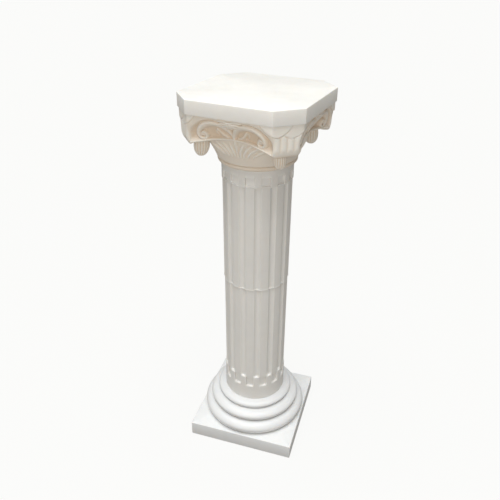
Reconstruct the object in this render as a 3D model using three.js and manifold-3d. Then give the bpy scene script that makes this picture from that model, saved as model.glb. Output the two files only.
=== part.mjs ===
// Pedestal column in moulded plastic: a square base with three rounds, a fluted shaft in two halves,
// a capital with paired scrolls on each face and a horn at each corner, and a slab with cut corners.
// Millimetres, +Z up. The origin is the middle of the base's underside, and -Y is the front.
import * as THREE from "three";
import { mergeVertices } from "three/addons/utils/BufferGeometryUtils.js";
import Module from "manifold-3d";

const wasm = await Module();
wasm.setup();

// Fit: the air left between two pieces that rest on each other
const seatGap = 0.3;

// Shaft: two halves that meet at a seam, the upper one a little fatter
const lowerLength = 340;
const upperLength = 295.3;
const lowerRadius = 76.2;
const seamStep = 1.3;
const fluteCount = 14;
const landAngle = 13.7;
const fluteDepth = 4.2;
const fluteTurn = -59.6;
const lowerTurn = 2;

// Bands at the shaft's ends, with a row of pockets over the lands and tabs over the flutes
const bandProud = 1.6;
const pocketDepth = 2.8;
const pocketSlope = 0.65;
const landLead = 3.3;
const lowerBandHeight = 74.5;
const lowerPocketHeight = 27;
const upperBandHeight = 37.5;
const upperPocketHeight = 19;

// Base: a square plate under three rounds, each reaching out past the one above it
const plateHeight = 40;
const plateEdge = 2;
const lowRoundHeight = 33.5;
const lowRoundReach = 16;
const middleRoundHeight = 25.5;
const middleRoundReach = 20;
const topRoundHeight = 18;
const topRoundReach = 19.7;
const roundSegments = 36;

// Top slab: a square with its corners cut off, turned a little against the base
const slabSide = 276.8;
const slabCut = 46.5;
const slabThickness = 29;
const headTurn = -8.3;

// Capital: its height, how far it stays inside the slab, how far its faces are hollowed along their lips,
// and its ring above the shaft
const capitalHeight = 117.5;
const faceInset = 4.4;
const hornInset = 4.8;
const faceHollow = 22;
const neckHeight = 2;
const neckStep = 1;
const ringHeight = 9;
const ringProud = 7.8;
const grooveDepth = 2.6;
const bellStep = 0.8;

// Carving: depths of the bowls, ridges, leaves and lappets, and how deep each carving is set in
const bowlDepth = 8;
const ridgeWidth = 10;
const ridgeHeight = 10;
const eyeTurns = 0.95;
const leafHeight = 4;
const leafWidth = 8;
const stemWidth = 8.8;
const lappetProud = 2.6;
const flowerInset = 0.5;
const settingDepth = 3;

// Horns and the drops under them: the horn's foot rolls in as a quarter round, below the faces' corners
const hornRoll = 16;
const hornDip = 6;
const dropHeight = 33;
const dropDepth = 34;
const dropWidth = 28;
const dropLean = 2;

// Places that follow from the sizes
const lowerBandRadius = lowerRadius + bandProud;
const topRoundRadius = lowerBandRadius + topRoundReach;
const middleRoundRadius = topRoundRadius + middleRoundReach;
const lowRoundRadius = middleRoundRadius + lowRoundReach;
const plateSide = 2 * (lowRoundRadius + plateEdge);
const baseHeight = plateHeight + lowRoundHeight + middleRoundHeight + topRoundHeight;
const seamHeight = baseHeight + seatGap + lowerLength;
const capitalFoot = seamHeight + seatGap + upperLength + seatGap;
const slabFoot = capitalFoot + capitalHeight + seatGap;
const upperRadius = lowerRadius + seamStep;
const upperBandRadius = upperRadius + bandProud;
const ringRadius = upperBandRadius + ringProud;
const bellFootRadius = ringRadius + bellStep;
const faceOut = slabSide / 2 - faceInset;
const hornOut = (slabSide - slabCut) / Math.SQRT2 - hornInset;
const hornEdge = Math.SQRT2 * hornOut - faceOut;
const hornHalf = Math.SQRT2 * faceOut - hornOut;

const rad = THREE.MathUtils.degToRad;
const lerp = THREE.MathUtils.lerp;

// Closed skin over rings of points: each ring joins the next, and a fan closes each end
function skinOver(rings) {
  const count = rings[0].length;
  const middles = [rings[0], rings.at(-1)].map((ring) =>
    ring.reduce((sum, p) => sum.add(p), new THREE.Vector3()).divideScalar(count));
  const points = [...rings.flat(), ...middles].flatMap((p) => p.toArray());
  const first = rings.length * count;
  const faces = [];
  for (let j = 0; j < count; j++) {
    const k = (j + 1) % count;
    for (let i = 0; i < rings.length - 1; i++) {
      const [a, b, c, d] = [i * count + j, i * count + k, (i + 1) * count + k, (i + 1) * count + j];
      faces.push([a, b, c], [a, c, d]);
    }
    faces.push([first, k, j], [first + 1, first - count + j, first - count + k]);
  }
  const geometry = new THREE.BufferGeometry();
  geometry.setAttribute("position", new THREE.Float32BufferAttribute(points, 3));
  geometry.setIndex(faces.flat());
  return tidySkin(geometry);
}

// Merged corners, no face without area, and every face outwards
function tidySkin(source) {
  const bare = new THREE.BufferGeometry();
  bare.setAttribute("position", source.getAttribute("position"));
  bare.setIndex(source.index);
  const merged = mergeVertices(bare, 1e-3);
  const at = merged.getAttribute("position");
  const corner = (i) => new THREE.Vector3().fromBufferAttribute(at, i);
  const kept = [];
  let volume = 0;
  for (let i = 0; i < merged.index.count; i += 3) {
    const [a, b, c] = [0, 1, 2].map((n) => merged.index.getX(i + n));
    if (a !== b && b !== c && c !== a) {
      kept.push([a, b, c]);
      volume += corner(a).dot(corner(b).cross(corner(c)));
    }
  }
  merged.setIndex(kept.map((face) => (volume < 0 ? face.toReversed() : face)).flat());
  return merged;
}

function toSolid(geometry) {
  const skin = tidySkin(geometry);
  const vertProperties = new Float32Array(skin.getAttribute("position").array);
  const triVerts = new Uint32Array(skin.index.array);
  return new wasm.Manifold(new wasm.Mesh({ numProp: 3, vertProperties, triVerts }));
}

function toGeometry(solid) {
  const mesh = solid.getMesh();
  const geometry = new THREE.BufferGeometry();
  geometry.setAttribute("position", new THREE.Float32BufferAttribute(mesh.vertProperties, 3));
  geometry.setIndex([...mesh.triVerts]);
  return geometry;
}

// Base: each round swells from under the round above it to its full reach, then turns back in
function roundProfile(foot, height, reach, neck) {
  const middle = foot + height / 2;
  const under = height / 2;
  const points = [];
  for (const angle of [-70, -28]) {
    const turn = rad(angle);
    points.push(new THREE.Vector2(reach - under + under * Math.cos(turn), middle + under * Math.sin(turn)));
  }
  for (const angle of [8, 34, 60, 90]) {
    const turn = rad(angle);
    points.push(new THREE.Vector2(neck + (reach - neck) * Math.cos(turn), middle + under * Math.sin(turn)));
  }
  return points;
}

function makeBase() {
  const middleFoot = plateHeight + lowRoundHeight;
  const topFoot = middleFoot + middleRoundHeight;
  const turnedIn = (height, reach) => reach - 0.9 * height / 2;
  const profile = [
    new THREE.Vector2(0, plateHeight / 2),
    new THREE.Vector2(turnedIn(lowRoundHeight, lowRoundRadius), plateHeight / 2),
    ...roundProfile(plateHeight, lowRoundHeight, lowRoundRadius, turnedIn(middleRoundHeight, middleRoundRadius)),
    ...roundProfile(middleFoot, middleRoundHeight, middleRoundRadius, turnedIn(topRoundHeight, topRoundRadius)),
    ...roundProfile(topFoot, topRoundHeight, topRoundRadius, lowerBandRadius),
    new THREE.Vector2(0, baseHeight),
  ];
  const turned = new THREE.LatheGeometry(profile, roundSegments).rotateX(Math.PI / 2);
  const plate = new THREE.BoxGeometry(plateSide, plateSide, plateHeight).translate(0, 0, plateHeight / 2);
  return toGeometry(toSolid(plate).add(toSolid(turned)));
}

// Half a shaft, from the seam at z = 0 up to the end of its band. Each repeat around it has a flat land
// with a pocket beyond its end, and a hollow flute with a tab of the band over its end.
function makeShaftHalf(radius, length, bandHeight, pocketHeight) {
  const step = 360 / fluteCount;
  const landHalf = landAngle / 2;
  const fluteHalf = step / 2 - landHalf;
  const fluteFloor = 0.42;
  const columns = [];
  for (let n = 0; n < fluteCount; n++) {
    for (const side of [-landHalf, landHalf]) {
      columns.push({ angle: n * step + side, land: true, hollow: 0 });
    }
    const fluteSide = 1 - pocketSlope / fluteHalf;
    for (const across of [-fluteSide, -fluteFloor, fluteFloor, fluteSide]) {
      const angle = (n + 0.5) * step + across * fluteHalf;
      columns.push({ angle, land: false, hollow: fluteDepth * (1 - across * across) });
    }
  }
  const band = radius + bandProud;
  const floor = radius - pocketDepth;
  const tabEdge = length - bandHeight;
  const landEnd = tabEdge + landLead;
  const pocketEnd = landEnd + pocketHeight;
  const ringAt = (z, onLand, onFlute) => columns.map(({ angle, land, hollow }) => {
    const out = land ? onLand : onFlute - (onFlute === radius ? hollow : 0);
    return new THREE.Vector3(out * Math.cos(rad(angle)), out * Math.sin(rad(angle)), z);
  });
  return skinOver([
    ringAt(0, radius, radius),
    ringAt(tabEdge, radius, radius),
    ringAt(tabEdge, radius, band),
    ringAt(landEnd, radius, band),
    ringAt(landEnd, floor, band),
    ringAt(pocketEnd, floor, band),
    ringAt(pocketEnd, band, band),
    ringAt(length, band, band),
  ]);
}

// Capital, seen from the front face: e runs from 0 at the middle of a face to 1 at the horn's edge,
// and heights are shares of the capital's height.
const lipMiddleShare = 0.6;
const lipEndShare = 0.487;
const archTopShare = 0.983;
const archFootShare = 0.655;
const archStartShare = 0.48;
const archCurve = 1.75;
const hollowTopShare = 0.97;
const bellMiddleShare = 0.79;
const bellEndShare = 0.835;
const bellCurve = 1.2;

const lipHeight = (e) => capitalHeight * lerp(lipMiddleShare, lipEndShare, e * e);

// Distance of a face from the axis: straight under the slab, and hollow in plan down at its lip
function faceAt(e, z) {
  const up = THREE.MathUtils.smoothstep(z / capitalHeight, lipMiddleShare, hollowTopShare);
  return faceOut - faceHollow * (1 - e * e) * (1 - up);
}

function archHeight(e) {
  const t = Math.max(0, (e - archStartShare) / (1 - archStartShare));
  const rise = (1 - t ** archCurve) ** (1 / archCurve);
  return capitalHeight * lerp(archFootShare, archTopShare, rise);
}

// Bell: a hollow curve that widens from the ring to just behind the scrolls' lower lips
const bellFoot = neckHeight + ringHeight;

function bellRadius(z, e) {
  const share = THREE.MathUtils.clamp((z - bellFoot) / (lipHeight(e) - bellFoot), 0, 1);
  const widest = faceOut * lerp(bellMiddleShare, bellEndShare, e * e);
  return lerp(bellFootRadius, widest, share ** bellCurve);
}

// A horn goes straight down from the slab, then rolls in to its foot
const hornFoot = capitalHeight * lipEndShare - hornDip;

function hornAt(z) {
  const down = Math.max(0, 1 - (z - hornFoot) / hornRoll);
  return hornOut - hornRoll * (1 - Math.sqrt(1 - down * down));
}

// Columns around one eighth of the capital: along half a face, then the middle of a horn
const faceColumns = [0, 0.2, 0.42, 0.62, 0.8, 0.93, 1].map((e) =>
  ({ e, horn: false, angle: Math.atan2(hornEdge * e, faceOut) }));
const eighthColumns = [...faceColumns, { e: 1, horn: true, angle: Math.PI / 4 }];

// Goes once around: each face's columns mirrored about its middle, face after face.
// place gives a column's distance to the side of the face's middle, its distance out, and its height.
function ringAround(place) {
  const eighth = eighthColumns.map(place);
  const quarter = [...eighth.slice(1, -1).toReversed().map(([side, out, z]) => [-side, out, z]), ...eighth];
  const ring = [];
  for (let face = 0; face < 4; face++) {
    for (const [side, out, z] of quarter) {
      ring.push(new THREE.Vector3(side, -out, z).applyAxisAngle(new THREE.Vector3(0, 0, 1), face * Math.PI / 2));
    }
  }
  return ring;
}

// Where a column runs on a circle, and on the faces and horns, sunk into a face by a depth
const onCircle = ({ angle }, radius, z) => [radius * Math.sin(angle), radius * Math.cos(angle), z];

function onFrame({ e, horn }, z, sunk = 0) {
  if (horn) return [hornAt(z) / Math.SQRT2, hornAt(z) / Math.SQRT2, z];
  if (e === 1) return [(hornAt(z) - hornHalf) / Math.SQRT2, (hornAt(z) + hornHalf) / Math.SQRT2, z];
  return [e * hornEdge, faceAt(e, z) - sunk, z];
}

// Circles, the bell between its foot (0) and the scrolls' lips (1), and the lips' flat underside
const footHeight = ({ e, horn }) => (horn ? hornFoot : lipHeight(e));
const roundAt = (radius, z) => ringAround((column) => onCircle(column, radius, z));
const bellAt = (share) => ringAround((column) => {
  const z = lerp(bellFoot, footHeight(column), share);
  return onCircle(column, bellRadius(z, column.e), z);
});
const underLip = (share) => ringAround((column) => {
  const z = footHeight(column);
  const outer = onFrame(column, z);
  return onCircle(column, bellRadius(z, column.e), z).map((inner, i) => lerp(inner, outer[i], share));
});

// Places on a face between its lip (0) and its arch (1), and on the frame from there to the top (1)
const bowlAt = (share, sunk) => ringAround((column) =>
  onFrame(column, lerp(footHeight(column), archHeight(column.e), share), sunk));
const frameAt = (share) => ringAround((column) =>
  onFrame(column, lerp(archHeight(column.e), capitalHeight, share)));

function capitalBody() {
  return skinOver([
    roundAt(upperBandRadius + neckStep, 0),
    roundAt(ringRadius, neckHeight + 0.25 * ringHeight),
    roundAt(ringRadius, neckHeight + 0.75 * ringHeight),
    roundAt(ringRadius - grooveDepth, bellFoot),
    bellAt(0.03),
    bellAt(0.38),
    bellAt(0.72),
    underLip(0),
    underLip(0.94),
    bowlAt(0.06, 0),
    bowlAt(0.16, bowlDepth),
    bowlAt(0.5, bowlDepth),
    bowlAt(0.88, 0.8 * bowlDepth),
    bowlAt(1, 0),
    frameAt(0.45),
    frameAt(1),
  ]);
}

// A point on the front face at a side distance and a height, a given way out from the axis
const onFace = (side, z, out) => new THREE.Vector3(side, -out, z);

// A raised ridge along a path of face points: a four-sided section that narrows at both ends
function ridgeAlong(path, width, height, buried) {
  const rings = path.map((point, i) => {
    const before = path[Math.max(0, i - 1)];
    const after = path[Math.min(path.length - 1, i + 1)];
    const along = after.clone().sub(before).normalize();
    const out = new THREE.Vector3(0, -1, 0);
    const across = new THREE.Vector3().crossVectors(out, along).normalize();
    const share = i / (path.length - 1);
    const swell = 0.35 + 0.65 * Math.sin(Math.PI * Math.min(1, share + 0.12)) ** 0.6;
    const half = width / 2 * swell;
    const at = (u, v) => point.clone().addScaledVector(across, u * half).addScaledVector(out, v);
    return [at(1, 0), at(0, height * swell), at(-1, 0), at(0, -buried)];
  });
  return skinOver(rings);
}

// Scroll ridge: half an ellipse from the middle of the face, then a coil in to the eye
function scrollRidge(mirror) {
  const middleSide = 0.391 * hornEdge;
  const reach = 0.391 * hornEdge;
  const middleZ = 0.66 * capitalHeight;
  const rise = 0.244 * capitalHeight;
  const coilRadius = 0.1 * hornEdge;
  const archSteps = 7;
  const coilSteps = 5;
  const path = [];
  for (let i = 0; i <= archSteps; i++) {
    const turn = Math.PI * (1 - i / (archSteps + 0.5));
    path.push([middleSide + reach * Math.cos(turn), middleZ + rise * Math.sin(turn)]);
  }
  for (let i = 1; i <= coilSteps; i++) {
    const turn = -2 * Math.PI * eyeTurns * (i / coilSteps);
    const radius = coilRadius * (1 - 0.62 * i / coilSteps);
    const eyeSide = middleSide + reach - coilRadius;
    path.push([eyeSide + radius * Math.cos(turn), middleZ + radius * Math.sin(turn)]);
  }
  const points = path.map(([side, z]) => onFace(mirror * side, z, faceAt(side / hornEdge, z) - bowlDepth));
  return ridgeAlong(points, ridgeWidth, ridgeHeight, bowlDepth / 2);
}

// Leaf blade on the bell: a three-sided spike that follows the bell from its root to its tip
function bellLeaf(rootSide, tipSide, tipShare, mirror) {
  const rootZ = lerp(bellFoot, capitalHeight * lipMiddleShare, 0.23);
  const rings = [];
  for (let i = 0; i <= 3; i++) {
    const share = i / 3;
    const side = hornEdge * lerp(rootSide, tipSide, share ** 1.5);
    const z = lerp(rootZ, capitalHeight * tipShare, Math.sin(rad(90 * share)));
    const radius = bellRadius(z, side / hornEdge);
    const half = leafWidth / 2 * (0.35 + Math.sin(Math.PI * (0.15 + 0.7 * share)));
    const put = (offset, lift) => {
      const angle = Math.asin(Math.min(0.99, side / radius)) + offset / radius;
      const reach = radius + lift;
      return onFace(mirror * reach * Math.sin(angle), z - 0.35 * offset, reach * Math.cos(angle));
    };
    rings.push([put(-half, -settingDepth), put(0, leafHeight), put(half, -settingDepth)]);
  }
  return skinOver(rings);
}

// Flower under the slab at the middle of a face: a fan of five lobes, cut from one thickness
function faceFlower() {
  const halfWidth = 0.3 * hornEdge;
  const drop = 0.145 * capitalHeight;
  const hang = 0.985 * capitalHeight;
  const lobes = 5;
  const steps = 2 * lobes;
  const outline = [];
  for (let i = 0; i <= steps; i++) {
    const turn = Math.PI * (1 + i / steps);
    const lobe = 0.76 + 0.24 * Math.abs(Math.sin(lobes * i * Math.PI / steps));
    outline.push(new THREE.Vector2(halfWidth * lobe * Math.cos(turn), drop * lobe * Math.sin(turn)));
  }
  const front = slabSide / 2 - flowerInset;
  const thick = front - faceAt(0, hang - drop) + bowlDepth + settingDepth;
  const fan = new THREE.ExtrudeGeometry(new THREE.Shape(outline), { depth: thick, bevelEnabled: false });
  fan.rotateX(Math.PI / 2);
  return fan.translate(0, thick - front, hang);
}

// Stem that hangs from the meeting of the scrolls down the bell
function faceStem() {
  const rings = [];
  for (const [share, swell] of [[0.6, 0.78], [0.5, 1], [0.39, 0.64], [0.26, 0.24]]) {
    const z = share * capitalHeight;
    const half = swell * stemWidth / 2;
    const back = bellRadius(z, 0) - settingDepth;
    const front = bellRadius(z, 0) + leafHeight;
    rings.push([onFace(-half, z, back), onFace(half, z, back), onFace(0.6 * half, z, front),
      onFace(-0.6 * half, z, front)]);
  }
  return skinOver(rings);
}

// Lappet under a corner: half an ellipse hung from the slab on half of the horn
function hornLappet(mirror) {
  const half = hornHalf / 2;
  const hang = 0.187 * capitalHeight;
  const across = [-1, -0.75, 0, 0.75, 1];
  const front = across.map((u) => {
    const z = capitalHeight * 0.99 - hang * Math.sqrt(1 - u * u);
    return [mirror * half * (1.03 + u), z];
  });
  const top = [...across].reverse().map((u) => [mirror * half * (1.03 + u), capitalHeight]);
  const outline = [...front, ...top.slice(1, -1)];
  const rings = [-settingDepth, lappetProud].map((lift) =>
    outline.map(([side, z]) => onFace(side, z, hornAt(z) + lift)));
  return skinOver(rings);
}

// Drop under a horn: an upright bud with a round foot and reeds around it
function hornDrop() {
  const top = hornFoot + settingDepth;
  const middle = hornOut * 0.775;
  const reeds = 6;
  const rings = [];
  for (const [share, swell] of [[0, 0.97], [0.45, 0.97], [0.8, 0.7], [1, 0.26]]) {
    const ring = [];
    for (let i = 0; i < 2 * reeds; i++) {
      const turn = Math.PI * i / reeds;
      const reed = i % 2 ? 1 : 0.9;
      const side = dropWidth / 2 * swell * reed * Math.cos(turn);
      const out = middle + dropLean * share + dropDepth / 2 * swell * reed * Math.sin(turn);
      ring.push(onFace(side, top - dropHeight * share, out));
    }
    rings.push(ring);
  }
  return skinOver(rings);
}

function makeCapital() {
  const onFaces = [faceFlower(), faceStem()];
  const leaves = [[0.1, 0.5, 0.54], [0.23, 0.64, 0.49], [0.35, 0.7, 0.42]];
  for (const mirror of [-1, 1]) {
    onFaces.push(scrollRidge(mirror));
    for (const [rootSide, tipSide, tipShare] of leaves) {
      onFaces.push(bellLeaf(rootSide, tipSide, tipShare, mirror));
    }
  }
  const onCorners = [hornDrop(), hornLappet(-1), hornLappet(1)];
  let solid = toSolid(capitalBody());
  for (let face = 0; face < 4; face++) {
    const quarter = face * Math.PI / 2;
    for (const carving of onFaces) solid = solid.add(toSolid(carving.clone().rotateZ(quarter)));
    for (const carving of onCorners) solid = solid.add(toSolid(carving.clone().rotateZ(quarter + Math.PI / 4)));
  }
  return toGeometry(solid);
}

function makeSlab() {
  const half = slabSide / 2;
  const flat = half - slabCut;
  const outline = [];
  for (const [x, y] of [[1, 1], [-1, 1], [-1, -1], [1, -1]]) {
    const cut = [new THREE.Vector2(x * half, y * flat), new THREE.Vector2(x * flat, y * half)];
    outline.push(...(x === y ? cut : cut.reverse()));
  }
  return new THREE.ExtrudeGeometry(new THREE.Shape(outline), { depth: slabThickness, bevelEnabled: false });
}

// Colours: a cool white slab and base, warm grey-white shafts and a cream capital
const slabWhite = new THREE.MeshStandardMaterial({ color: 0xf1efeb, roughness: 0.5, metalness: 0 });
const shaftWhite = new THREE.MeshStandardMaterial({ color: 0xe4ded6, roughness: 0.52, metalness: 0 });
const capitalCream = new THREE.MeshStandardMaterial({ color: 0xe6d6c4, roughness: 0.55, metalness: 0 });
const baseWhite = new THREE.MeshStandardMaterial({ color: 0xf3f3f1, roughness: 0.45, metalness: 0 });

function piece(name, geometry, material, z, turn) {
  const mesh = new THREE.Mesh(tidySkin(geometry), material);
  mesh.name = name;
  mesh.position.z = z;
  mesh.rotation.z = rad(turn);
  return mesh;
}

const column = new THREE.Group();
const base = piece("base", makeBase(), baseWhite, 0, 0);
const lowerHalf = makeShaftHalf(lowerRadius, lowerLength, lowerBandHeight, lowerPocketHeight).rotateX(Math.PI);
const upperHalf = makeShaftHalf(upperRadius, upperLength, upperBandHeight, upperPocketHeight);
const lowerShaft = piece("lower_shaft", lowerHalf, shaftWhite, seamHeight, fluteTurn + lowerTurn);
const upperShaft = piece("upper_shaft", upperHalf, shaftWhite, seamHeight + seatGap, fluteTurn);
const capital = piece("capital", makeCapital(), capitalCream, capitalFoot, headTurn);
const topSlab = piece("top_slab", makeSlab(), slabWhite, slabFoot, headTurn);
column.add(base, lowerShaft, upperShaft, capital, topSlab);

export default column;
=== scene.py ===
# Pedestal column in moulded plastic, dressed around the fixed frame of its solids.
# Metres throughout, +Z up, origin in the middle of the base's underside, -Y the front.
import bpy
import numpy as np
from mathutils import Matrix, Vector


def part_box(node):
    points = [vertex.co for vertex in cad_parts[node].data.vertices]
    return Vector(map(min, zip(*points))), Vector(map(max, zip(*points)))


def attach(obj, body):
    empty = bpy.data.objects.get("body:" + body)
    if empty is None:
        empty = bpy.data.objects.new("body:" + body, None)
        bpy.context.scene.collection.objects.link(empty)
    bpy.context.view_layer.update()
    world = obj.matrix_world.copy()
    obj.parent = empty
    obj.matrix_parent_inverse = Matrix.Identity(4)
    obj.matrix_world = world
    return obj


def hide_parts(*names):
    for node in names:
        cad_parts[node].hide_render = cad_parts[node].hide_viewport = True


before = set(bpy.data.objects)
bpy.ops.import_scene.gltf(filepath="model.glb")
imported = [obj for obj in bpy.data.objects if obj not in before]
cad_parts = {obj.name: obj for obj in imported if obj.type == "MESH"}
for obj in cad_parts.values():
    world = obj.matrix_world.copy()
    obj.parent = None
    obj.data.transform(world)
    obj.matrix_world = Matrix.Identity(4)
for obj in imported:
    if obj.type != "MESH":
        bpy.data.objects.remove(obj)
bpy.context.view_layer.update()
mm = 0.001
print("frame loaded:", ", ".join(sorted(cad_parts)))


# Small helpers on whole arrays

def smooth(low, high, x):
    # 0 below low, 1 above high, and a cubic without corners between them
    t = np.clip((x - low) / (high - low), 0, 1)
    return t * t * (3 - 2 * t)


def mix(a, b, share):
    return a + (b - a) * share


def larger(a, b, blend):
    # The larger of two surfaces, with a fillet of that width where they cross
    share = np.clip(0.5 + 0.5 * (a - b) / blend, 0, 1)
    return mix(b, a, share) + blend * share * (1 - share)


def nearPath(side, z, path):
    # Distance from each place to a line of points, and how far along the line that nearest place is
    start, step = path[:-1], np.diff(path, axis=0)
    dx = side[..., None] - start[:, 0]
    dz = z[..., None] - start[:, 1]
    t = np.clip((dx * step[:, 0] + dz * step[:, 1]) / (step ** 2).sum(1), 0, 1)
    apart = np.hypot(dx - t * step[:, 0], dz - t * step[:, 1])
    best = apart.argmin(-1)[..., None]
    along = (best + np.take_along_axis(t, best, -1)) / len(step)
    return np.take_along_axis(apart, best, -1)[..., 0], along[..., 0]


def curveThrough(root, middle, tip, steps=14):
    # Smooth curve of second degree that passes through three places
    t = np.linspace(0, 1, steps + 1)[:, None]
    root, middle, tip = (np.array(p) * mm for p in (root, middle, tip))
    pull = 2 * middle - (root + tip) / 2
    return (1 - t) ** 2 * root + 2 * t * (1 - t) * pull + t ** 2 * tip


def turned(points, degrees):
    # Points turned about the column's axis
    a = np.radians(degrees)
    x, y, z = np.moveaxis(points, -1, 0)
    return np.stack([x * np.cos(a) - y * np.sin(a), x * np.sin(a) + y * np.cos(a), z], -1)


def closedSkin(rows):
    # Rows of rings, anticlockwise and from the underside's middle to the top's middle. Each ring closes on
    # itself, neighbours are joined by four-sided faces, and a fan of triangles closes each end.
    count, around = rows.shape[:2]
    i, j = np.meshgrid(np.arange(count - 1), np.arange(around), indexing="ij")
    k = (j + 1) % around
    quads = np.stack([i * around + j, i * around + k, (i + 1) * around + k, (i + 1) * around + j], -1)
    j = np.arange(around)
    k = (j + 1) % around
    low, high = count * around, count * around + 1
    last = (count - 1) * around
    fans = np.concatenate([
        np.stack([np.full(around, low), k, j], -1),
        np.stack([np.full(around, high), last + j, last + k], -1),
    ])
    points = np.concatenate([rows.reshape(-1, 3), rows[[0, -1]].mean(1)])
    return points, quads.reshape(-1, 4), fans


def makePiece(name, skins, nodes, material, hollow=None, sharpAngle=50):
    # One object from one or more closed skins, riding on the root body in place of the CAD nodes
    points, corners, sizes = [], [], []
    shift = 0
    for skinPoints, quads, fans in skins:
        points.append(skinPoints)
        corners += [(quads + shift).ravel(), (fans + shift).ravel()]
        sizes += [np.full(len(quads), 4), np.full(len(fans), 3)]
        shift += len(skinPoints)
    points, corners, sizes = (np.concatenate(part) for part in (points, corners, sizes))
    mesh = bpy.data.meshes.new(name)
    mesh.vertices.add(len(points))
    mesh.vertices.foreach_set("co", points.astype(np.float32).ravel())
    mesh.loops.add(len(corners))
    mesh.loops.foreach_set("vertex_index", corners.astype(np.int32))
    mesh.polygons.add(len(sizes))
    mesh.polygons.foreach_set("loop_start", (np.cumsum(sizes) - sizes).astype(np.int32))
    mesh.update(calc_edges=True)
    mesh.polygons.foreach_set("use_smooth", np.ones(len(sizes), bool))
    mesh.set_sharp_from_angle(angle=np.radians(sharpAngle))
    # Painted shading per point, kept as the hollow attribute; none where the piece gives none
    shade = np.zeros(len(points)) if hollow is None else hollow
    mesh.attributes.new("hollow", "FLOAT", "POINT").data.foreach_set("value", shade.astype(np.float32))
    piece = bpy.data.objects.new(name, mesh)
    bpy.context.scene.collection.objects.link(piece)
    mesh.materials.append(material)
    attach(piece, "root")
    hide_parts(*nodes)
    print(name, "has", 2 * int((sizes == 4).sum()) + int((sizes == 3).sum()), "triangles")


# Effects that the finishes share, as node groups

def newGroup(name, inputs, outputs):
    group = bpy.data.node_groups.new(name, "ShaderNodeTree")
    for label, kind, value in inputs:
        socket = group.interface.new_socket(label, in_out="INPUT", socket_type=kind)
        socket.default_value = value
    for label, kind in outputs:
        group.interface.new_socket(label, in_out="OUTPUT", socket_type=kind)
    return group, group.nodes.new("NodeGroupInput").outputs, group.nodes.new("NodeGroupOutput").inputs


def addNode(tree, kind, links=(), **settings):
    # New node with plain settings; links pairs an input's name or number with a value or another socket
    node = tree.nodes.new(kind)
    for key, value in settings.items():
        setattr(node, key, value)
    for key, value in dict(links).items():
        if isinstance(value, bpy.types.NodeSocket):
            tree.links.new(value, node.inputs[key])
        else:
            node.inputs[key].default_value = value
    return node


def makeMottle():
    # Cloudy tone: two sizes of noise, given out as a value about one half
    group, given, out = newGroup("cloudyTone", [("Scale", "NodeSocketFloat", 8.0)],
                                 [("Tone", "NodeSocketFloat")])
    place = addNode(group, "ShaderNodeTexCoord").outputs["Object"]
    broad = addNode(group, "ShaderNodeTexNoise", {"Vector": place, "Scale": given["Scale"], "Detail": 3.0})
    finer = addNode(group, "ShaderNodeMath", {0: given["Scale"], 1: 7.0}, operation="MULTIPLY")
    fine = addNode(group, "ShaderNodeTexNoise", {"Vector": place, "Scale": finer.outputs[0], "Detail": 2.0})
    both = addNode(group, "ShaderNodeMix", {0: 0.35, 2: broad.outputs["Fac"], 3: fine.outputs["Fac"]})
    group.links.new(both.outputs[0], out["Tone"])
    return group


def makeGrain():
    # Moulding skin: a fine orange peel over a broad unevenness, given out as a height
    group, given, out = newGroup("mouldingSkin", [("Scale", "NodeSocketFloat", 900.0)],
                                 [("Height", "NodeSocketFloat")])
    place = addNode(group, "ShaderNodeTexCoord").outputs["Object"]
    peel = addNode(group, "ShaderNodeTexNoise", {"Vector": place, "Scale": given["Scale"], "Detail": 2.0})
    wide = addNode(group, "ShaderNodeTexNoise", {"Vector": place, "Scale": 60.0, "Detail": 1.0})
    both = addNode(group, "ShaderNodeMix", {0: 0.45, 2: peel.outputs["Fac"], 3: wide.outputs["Fac"]})
    group.links.new(both.outputs[0], out["Height"])
    return group


def makeEdgeHighlightAndCreaseShading():
    # Where the surface bends: a mask for a painted highlight along raised edges and painted shading in
    # creases, both broken up by noise
    group, given, out = newGroup("edgeHighlightAndCreaseShading", [("Softness", "NodeSocketFloat", 0.05)],
                                 [("Edge", "NodeSocketFloat"), ("Crease", "NodeSocketFloat")])
    bend = addNode(group, "ShaderNodeNewGeometry").outputs["Pointiness"]
    place = addNode(group, "ShaderNodeTexCoord").outputs["Object"]
    cloud = addNode(group, "ShaderNodeTexNoise", {"Vector": place, "Scale": 45.0, "Detail": 3.0})
    patch = cloud.outputs["Fac"]
    broken = addNode(group, "ShaderNodeMapRange", {0: patch, 1: 0.3, 2: 0.6, 3: 0.5, 4: 1.0}).outputs[0]
    away = addNode(group, "ShaderNodeMath", {0: bend, 1: -0.5}, operation="ADD").outputs[0]
    for label, sign in (("Edge", 1.0), ("Crease", -1.0)):
        signed = addNode(group, "ShaderNodeMath", {0: away, 1: sign}, operation="MULTIPLY").outputs[0]
        share = addNode(group, "ShaderNodeMath", {0: signed, 1: given["Softness"]}, operation="DIVIDE",
                        use_clamp=True).outputs[0]
        both = addNode(group, "ShaderNodeMath", {0: share, 1: broken}, operation="MULTIPLY").outputs[0]
        group.links.new(both, out[label])
    return group


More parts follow.
